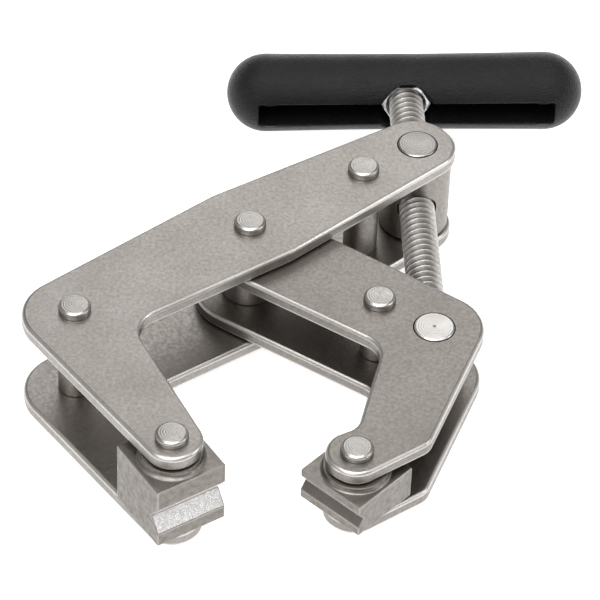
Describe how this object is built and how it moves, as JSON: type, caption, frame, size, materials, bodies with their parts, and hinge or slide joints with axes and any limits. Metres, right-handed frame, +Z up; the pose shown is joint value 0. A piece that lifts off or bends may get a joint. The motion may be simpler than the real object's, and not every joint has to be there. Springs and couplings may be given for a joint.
{
  "type": "cantilever clamp",
  "caption": "Two-arm cantilever clamp: riveted steel plate arms on a scissor pivot, swivelling grooved jaws, and a screw with a black T-handle.",
  "frame": {"origin": "under the middle of the clamp's box, on the surface it lies on, the clamp lying flat", "axes": "+X from the outer jaw to the inner jaw, +Y from the jaws towards the handle, +Z up, square to the arm plates"},
  "size_m": [0.1122, 0.1388, 0.0271],
  "materials": {
    "outer_plate": "warm grey satin, tumbled, brighter along worn edges",
    "inner_plate": "slightly browner satin, tumbled",
    "rivet": "bright, worn smooth on the crown",
    "sleeve": "dull, slightly oiled",
    "jaw": "satin with milled, bright V-groove",
    "trunnion": "turned, satin",
    "screw": "cut thread, lightly oiled",
    "handle_plastic": "black moulded, fine leather grain"
  },
  "bodies": {
    "outer_arm": {"outer_plate_upper": "outer_plate", "outer_plate_lower": "outer_plate", "elbow_rivet": "rivet", "pivot_rivet": "rivet", "rear_rivet": "rivet", "outer_jaw_rivet": "rivet", "elbow_spacer": "sleeve", "rear_spacer": "sleeve"},
    "inner_arm": {"inner_plate_upper": "inner_plate", "inner_plate_lower": "inner_plate", "inner_post_rivet": "rivet", "inner_jaw_rivet": "rivet", "pivot_bush": "sleeve", "inner_spacer": "sleeve"},
    "outer_jaw": {"outer_jaw": "jaw"},
    "inner_jaw": {"inner_jaw": "jaw"},
    "threaded_trunnion": {"threaded_trunnion": "trunnion"},
    "swivel_trunnion": {"swivel_trunnion": "trunnion", "spindle_keeper_pin": "rivet", "thrust_ball": "rivet"},
    "spindle": {"spindle": "screw", "handle_lock_nut": "screw", "handle_grip": "handle_plastic"}
  },
  "joints": [
    {"name": "arm_pivot", "type": "hinge", "parent": "outer_arm", "child": "inner_arm", "pos_m": [-0.01272, 0.0012, 0.01355], "axis": [0, 0, 1], "range_deg": [-12.3, 29.3]},
    {"name": "outer_jaw_swivel", "type": "hinge", "parent": "outer_arm", "child": "outer_jaw", "pos_m": [-0.02514, -0.0591, 0.01355], "axis": [0, 0, 1], "range_deg": [-30, 60]},
    {"name": "inner_jaw_swivel", "type": "hinge", "parent": "inner_arm", "child": "inner_jaw", "pos_m": [0.00974, -0.05733, 0.01355], "axis": [0, 0, 1], "range_deg": [-50, 40]},
    {"name": "threaded_trunnion_turn", "type": "hinge", "parent": "outer_arm", "child": "threaded_trunnion", "pos_m": [0.0206, 0.0279, 0.01355], "axis": [0, 0, 1], "range_deg": [-8, 17]},
    {"name": "swivel_trunnion_turn", "type": "hinge", "parent": "inner_arm", "child": "swivel_trunnion", "pos_m": [0.0243, -0.02238, 0.01355], "axis": [0, 0, 1], "range_deg": [-15, 7]},
    {"name": "screw_spin", "type": "hinge", "parent": "swivel_trunnion", "child": "spindle", "pos_m": [0.0243, -0.02238, 0.01355], "axis": [-0.0734, 0.9973, 0], "range_deg": [-1740, 4215]}
  ],
  "couplings": [
    {"joint": "arm_pivot", "follows": "screw_spin", "ratio": 0.006873},
    {"joint": "threaded_trunnion_turn", "follows": "screw_spin", "ratio": 0.003643},
    {"joint": "swivel_trunnion_turn", "follows": "screw_spin", "ratio": -0.00323}
  ]
}
